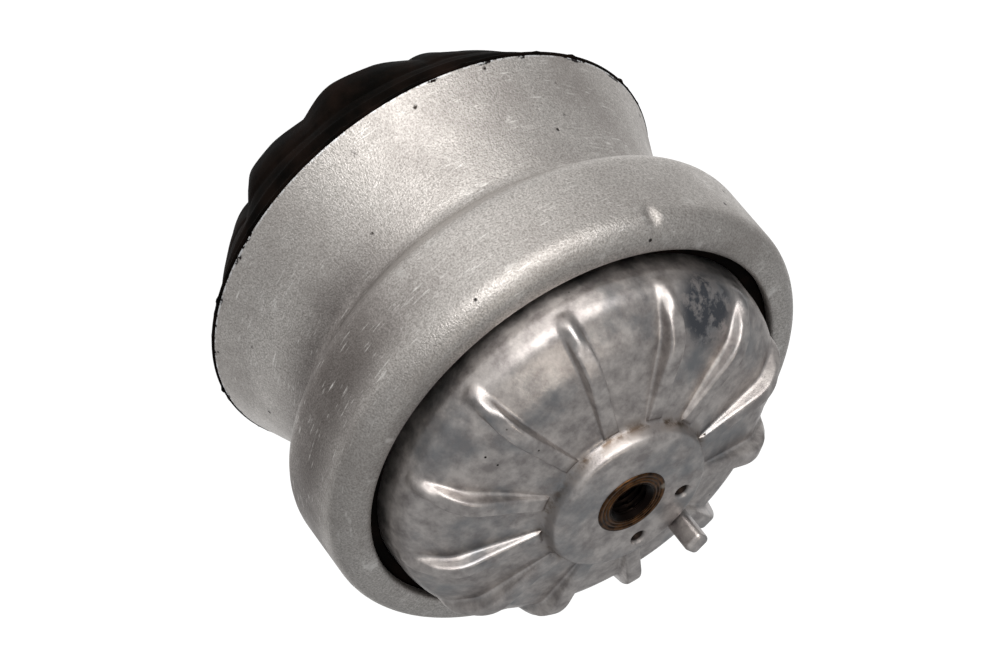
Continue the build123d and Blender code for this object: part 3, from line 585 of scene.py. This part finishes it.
half = np.array([column_offsets(r) for r, _ in line])
turn = np.arcsin(np.clip(half / line[:, :1], -1, 1))
turn[:, -1] = HALF_TURN
sector = np.concatenate([turn[:, :-1], 2 * HALF_TURN - turn[:, :0:-1]], 1)
angle = np.concatenate([sector + 2 * HALF_TURN * k for k in range(RIBS)], 1)
radius, height, _ = lathe_grid(line, np.zeros(angle.shape[1]))
nearest = (angle + HALF_TURN) % (2 * HALF_TURN) - HALF_TURN
aside = np.abs(radius * np.sin(nearest))
nose = ease(line[:, 0] - (line[:, 1] - LIP), 24.0, 30.0)[:, None]
lift = np.array([rib_section(a, rise) if rise > 0.08 else 0 * a for a, rise in zip(aside, rises)])
lift = lift * (1 - nose) + rib_nose(aside, rises[:, None]) * nose
lift = lift * (1 + 0.03 * np.sin(3 * angle + 1.0) + 0.02 * np.sin(7 * angle))
radius = radius + normal[:, :1] * lift
height = height + normal[:, 1:] * lift + np.where(ribbed[:, None], waves(angle, radius * 1.5, 0.06, 5), 0)
across, depth = radius * np.cos(angle), radius * np.sin(angle)
on_face = (np.abs(height - HUB_FACE) < 0.01) & (radius < 14.0)
for side in (-1, 1):
    centre = 11.05 * np.array([cos(radians(30)), side * sin(radians(30))])
    gap = np.hypot(across - centre[0], depth - centre[1])
    snap = np.where(on_face & (np.abs(gap - DIMPLE) < 0.2), DIMPLE / np.maximum(gap, 0.1), 1.0)
    across, depth = centre[0] + (across - centre[0]) * snap, centre[1] + (depth - centre[1]) * snap
    gap = gap * snap
    height = np.where(on_face, height - 1.6 * np.clip((DIMPLE - gap) / (DIMPLE - 0.3), 0, 1), height)
dome = skin("dome_skin", np.hypot(across, depth), height, np.arctan2(depth, across), 38.0)
dress(dome, CAST, "dome_cover")
print("dome rises to mm", round(height.max(), 2), "rib stands proud by", round(rises.max(), 2))

# %% [markdown]
# The lug that turns the mount the right way round in its seat is a small block, cast with the dome. It is a
# cube in mesh code, whose upright and top edges are rounded by a bevel that is applied to the mesh.

# %% Locating lug
import bmesh

lug_mesh = bpy.data.meshes.new("lug_skin")
form = bmesh.new()
bmesh.ops.create_cube(form, size=1.0)
lug_size = Vector((3.4, 3.9, 8.8)) * MM
lug_place = Vector((15.1 + 1.7, 0.0, 91.32 - 4.4)) * MM
bmesh.ops.scale(form, vec=lug_size, verts=form.verts)
bmesh.ops.translate(form, vec=lug_place, verts=form.verts)
edges = [e for e in form.edges if min(v.co.z for v in e.verts) > lug_place.z or abs(e.verts[0].co.z - e.verts[1].co.z) > MM]
bmesh.ops.bevel(form, geom=edges, offset=0.9 * MM, segments=6, profile=0.5, affect="EDGES")
form.to_mesh(lug_mesh)
form.free()
lug_mesh.shade_smooth()
lug_mesh.set_sharp_from_angle(angle=radians(50))
lug = bpy.data.objects.new("lug_skin", lug_mesh)
bpy.context.collection.objects.link(lug)
dress(lug, CAST, "dome_cover")

# %% [markdown]
# The rubber spring stands out of the flared end as a collar with ten rounded lobes, which stop the travel by
# touching the bracket. The lobes are not alike, because the real collar has been pressed and has crept. Each has
# its own reach and lean, and one is squeezed narrow. Below the flange runs a small step, where the two halves of the mould met, and a thin film of
# rubber crept over the flared end's edge, with a few torn flakes.

# %% Rubber spring
LOBES = 10
LOBE_CENTRE = radians(153.0)
lobe_reach = [1.6, 0.9, -2.0, -0.6, 0.2, -0.5, 0.1, -0.2, -0.4, -1.9]
notch_depth = [0.5, 4.2, 2.6, 1.9, 3.0, 2.2, 1.6, 2.4, 4.2, 1.8]
lobe_lean = [2.4, 0, 0, 0.6, -0.4, 0, 0.8, 0, -0.5, 0.6]

spring = [
    (41.1, 20.35, 0.2), (41.1, 15.5, 0.3), (40.6, 15.2, 0.15), (38.4, 9.6, 9.0), (35.9, 6.0, 5.0), (32.6, 3.72, 1.6),
    (29.0, 3.72, 0.9), (27.5, 5.7, 1.4), (26.1, 15.7, 2.3), (18.05, 7.0, 0.5), (17.05, 6.0, 0.0),
    (13.1, 38.4, 0.0), (16.0, 38.4, 2.5), (34.8, 46.8, 3.0), (34.8, 52.2, 0.1), (43.8, 52.2, 0.2), (43.8, 51.7, 0.2),
    (35.1, 44.4, 7.0), (38.0, 30.4, 50.0), (41.8, 20.95, 0.1), (44.7, 20.95, 0.05), (44.95, 20.6, 0.15), (44.8, 20.35, 0.1),
]
line = rounded(spring, 0.55)
line = thinned(line, (line[:, 0] > 26) & (line[:, 1] < 21.2), 4)
radius, height, angle = lathe_grid(line, around(560))
count = len(line)
outward = np.zeros(count)
for index, (r, z) in enumerate(line):
    if r > 28.6 and z < 20.3:
        outward[index] = ease(np.array(21.5 - z), 4.5, 15.5) * ease(np.array(r), 28.6, 32.0)
squeezed = 0.19 * np.exp(-((angle - radians(200)) / radians(13)) ** 2)
turn = ((angle - LOBE_CENTRE) / (2 * pi) * LOBES + 0.5 + squeezed) % LOBES
lobe = np.floor(turn).astype(int) % LOBES
share = turn - np.floor(turn) - 0.5
reach = np.array(lobe_reach)[lobe] * (1 - ease(np.abs(share), 0.15, 0.5))
depth = np.where(share > 0, np.array(notch_depth)[lobe], np.array(notch_depth)[(lobe - 1) % LOBES])
valley = (np.abs(share) * 2) ** 3.2 * depth
lean = np.array(lobe_lean)[lobe] * np.sin(2 * pi * share) * 0.4
radius = radius + outward[:, None] * (reach + lean - valley)
crease = np.exp(-((height - 12.6 - 0.5 * np.sin(3 * angle)) / 0.45) ** 2) * 0.35
radius = radius - np.where(outward[:, None] > 0.1, crease, 0)
radius = radius + np.where(height < 20.2, waves(angle, height, 0.35, 3), 0)
film_and_shade = (radius > 44.6) & (height > 20.2)
flake = np.clip(np.sin(11 * angle + 1.2) * np.sin(29 * angle) * np.sin(53 * angle + 0.4) - 0.35, 0, 1)
radius = radius + np.where(film_and_shade, 0.5 * flake, 0)
main_spring = dress(skin("rubber_spring_skin", radius, height, angle, 50.0), RUBBER, "main_spring")

# %% [markdown]
# Under the rolled lip a rubber seal fills the gap to the dome. It was squeezed when the lip was rolled, so its
# top face bulges and dips a little, which keeps the dark gap from looking drawn with a compass.

# %% Edge seal
SEAL_TOP = LIP - WALL + 0.5
seal = [
    (37.85, 64.86, 0.1), (43.7, 64.86, 0.2), (43.7, 65.58, 0.2), (39.9, 65.58, 0.0), (39.9, SEAL_TOP, 0.3),
    (37.85, SEAL_TOP, 0.2),
]
radius, height, angle = lathe_grid(rounded(seal, 0.4), around(360))
height = height + np.where(height > 65.8, waves(angle, radius, 0.14, 9), 0)
edge_seal = dress(skin("seal_skin", radius, height, angle), RUBBER, "edge_seal")

# %% [markdown]
# Both bushes are turned from steel bar and tapped. Their threads are real form here: the grid's radius follows
# a pointed wave that climbs by one pitch each turn, M8 with 1.25 mm pitch in the dome and M10 with 1.5 mm in the
# core. The face carries the rings that the turning tool left, and the dome's bush has a chip of bright metal.

# %% Threaded bushes
def threaded_bush(name, outer_radius, bore, depth, pitch, low, high, face_up, mouth, node):
    """Tapped bush between two heights, with its turned face up or down."""
    def level(z):
        return z if face_up else low + high - z
    rings = [(mouth + 0.12 + k * 0.33, level(high), 0.0) if k % 2 else (mouth + 0.12 + k * 0.33, level(high - 0.14), 0.0)
             for k in range(int((outer_radius - mouth - 0.6) / 0.33) + 1)]
    path = [(bore, level(low + 0.3), 0.0), (bore, level(high - 1.0), 0.0), (mouth, level(high), 0.1)]
    path += rings + [(outer_radius, level(high), 0.25), (outer_radius, level(low), 0.1)]
    path += [(mouth, level(low), 0.1)]
    radius, height, angle = lathe_grid(rounded(path, 0.16), around(96))
    phase = (height / pitch - angle / (2 * pi)) % 1.0
    tooth = 1 - 2 * np.abs(phase - 0.5)
    inner = np.abs(radius - bore) < 0.02
    radius = radius + np.where(inner, depth * np.clip(1.25 * tooth - 0.12, 0, 1), 0)
    return dress(skin(name, radius, height, angle, 30.0), ZINC, node)


dome_bush = threaded_bush("dome_bush_skin", 6.62, 3.4, 0.65, 1.25, 72.1731, 86.1731, True, 4.25, "dome_thread_bush")
core_bush = threaded_bush("core_bush_skin", 7.98, 4.25, 0.8, 1.5, 0.0, 19.5, False, 5.25, "core_thread_bush")

# %% [markdown]
# The picture's stage is a pale light table: a floor that glows where the mount stands and fades outward, so the
# ground turns white behind the mount while its metal still has something darker to mirror. One large softbox
# stands low at the side, and its light gives the spool its bright band. A second, higher one draws the second
# band, just inside the dome's shoulder. The camera stands at the photograph's angle and is rolled, because the
# mount leans there.

# %% Floor, light and camera
FLOOR_SIZE = 6.0
GLOW = 1.0
SHADE = 0.20
PANEL_CENTRE = (95.0, -18.0)
PANEL_REACH = (240.0, 135.0)
LIGHT_POOL_CENTRE = Vector((-215.0, 70.0, 0.0)) * MM

bpy.ops.mesh.primitive_plane_add(size=FLOOR_SIZE, location=(0, 0, 0))
floor = bpy.context.object
floor.name = "studio_floor"
paper, tree, surface, place = start_finish("studio_paper", "F7F7F7", {"Roughness": 0.9, "Specular IOR Level": 0.0})
apart = add(tree, "SeparateXYZ", None, {"Vector": place})
sides = []
for axis, centre, reach in zip("XY", PANEL_CENTRE, PANEL_REACH):
    moved = add(tree, "Math", {"operation": "SUBTRACT", 1: centre * MM}, {0: apart.outputs[axis]})
    scaled = add(tree, "Math", {"operation": "DIVIDE", 1: reach * MM}, {0: moved.outputs["Value"]})
    sides.append(add(tree, "Math", {"operation": "ABSOLUTE"}, {0: scaled.outputs["Value"]}).outputs["Value"])
lozenge = add(tree, "Math", {"operation": "ADD"}, {0: sides[0], 1: sides[1]})
panel = add(tree, "MapRange", {"interpolation_type": "SMOOTHSTEP", "From Min": 1.14, "From Max": 1.75, "To Min": GLOW, "To Max": SHADE},
            {"Value": lozenge.outputs["Value"]})
# A second glowing patch on the floor, on the key softbox's side, is a painted pool of light that the metal mirrors.
away = add(tree, "VectorMath", {"operation": "DISTANCE", 1: LIGHT_POOL_CENTRE}, {0: place})
light_pool = add(tree, "MapRange", {"interpolation_type": "SMOOTHSTEP", "From Min": 0.06, "From Max": 0.24, "To Min": 0.95, "To Max": SHADE},
           {"Value": away.outputs["Value"]})
fade = add(tree, "Math", {"operation": "MAXIMUM"}, {0: panel.outputs["Result"], 1: light_pool.outputs["Result"]})
surface.inputs["Base Color"].default_value = linear("6A6A6A")
surface.inputs["Emission Color"].default_value = linear("FFFFFF")
tree.links.new(fade.outputs["Value"], surface.inputs["Emission Strength"])
floor.data.materials.append(paper)

world = bpy.data.worlds.new("studio")
world.use_nodes = True
world.node_tree.nodes["Background"].inputs["Color"].default_value = linear("F4F6F8")
world.node_tree.nodes["Background"].inputs["Strength"].default_value = 0.50
bpy.context.scene.world = world
bpy.context.scene.view_settings.view_transform = "Standard"

CAMERA_PLACE = Vector((-532.0, 142.7, 410.9)) * MM
CAMERA_FORWARD = Vector((0.80302, -0.21517, -0.55575))
CAMERA_ROLL = radians(141.74)
LENS = 136.8
AIM = Vector((0, 0, 50 * MM))

data = bpy.data.cameras.new("camera")
data.lens = LENS
data.sensor_width = 36.0
camera = bpy.data.objects.new("camera", data)
bpy.context.collection.objects.link(camera)
level = CAMERA_FORWARD.to_track_quat("-Z", "Y").to_matrix()
camera.matrix_world = Matrix.Translation(CAMERA_PLACE) @ (level @ Matrix.Rotation(CAMERA_ROLL, 3, "Z")).to_4x4()
bpy.context.scene.camera = camera


def softbox(name, toward, distance, width, height, power, tint="FFFFFF"):
    """Rectangular lamp that looks at the object from a direction."""
    lamp = bpy.data.lights.new(name, "AREA")
    lamp.shape, lamp.size, lamp.size_y, lamp.energy = "RECTANGLE", width, height, power
    lamp.color = linear(tint)[:3]
    holder = bpy.data.objects.new(name, lamp)
    bpy.context.collection.objects.link(holder)
    holder.location = AIM + Vector(toward).normalized() * distance
    holder.rotation_mode = "QUATERNION"
    holder.rotation_quaternion = (AIM - holder.location).to_track_quat("-Z", "Y")
    return holder


softbox("key_light", (-0.80, 0.62, 0.22), 0.9, 0.75, 0.60, 7.2, "FFFDFB")
softbox("top_light", (-0.27, 0.22, 0.94), 1.0, 0.24, 0.24, 0.8, "FFF5E8")
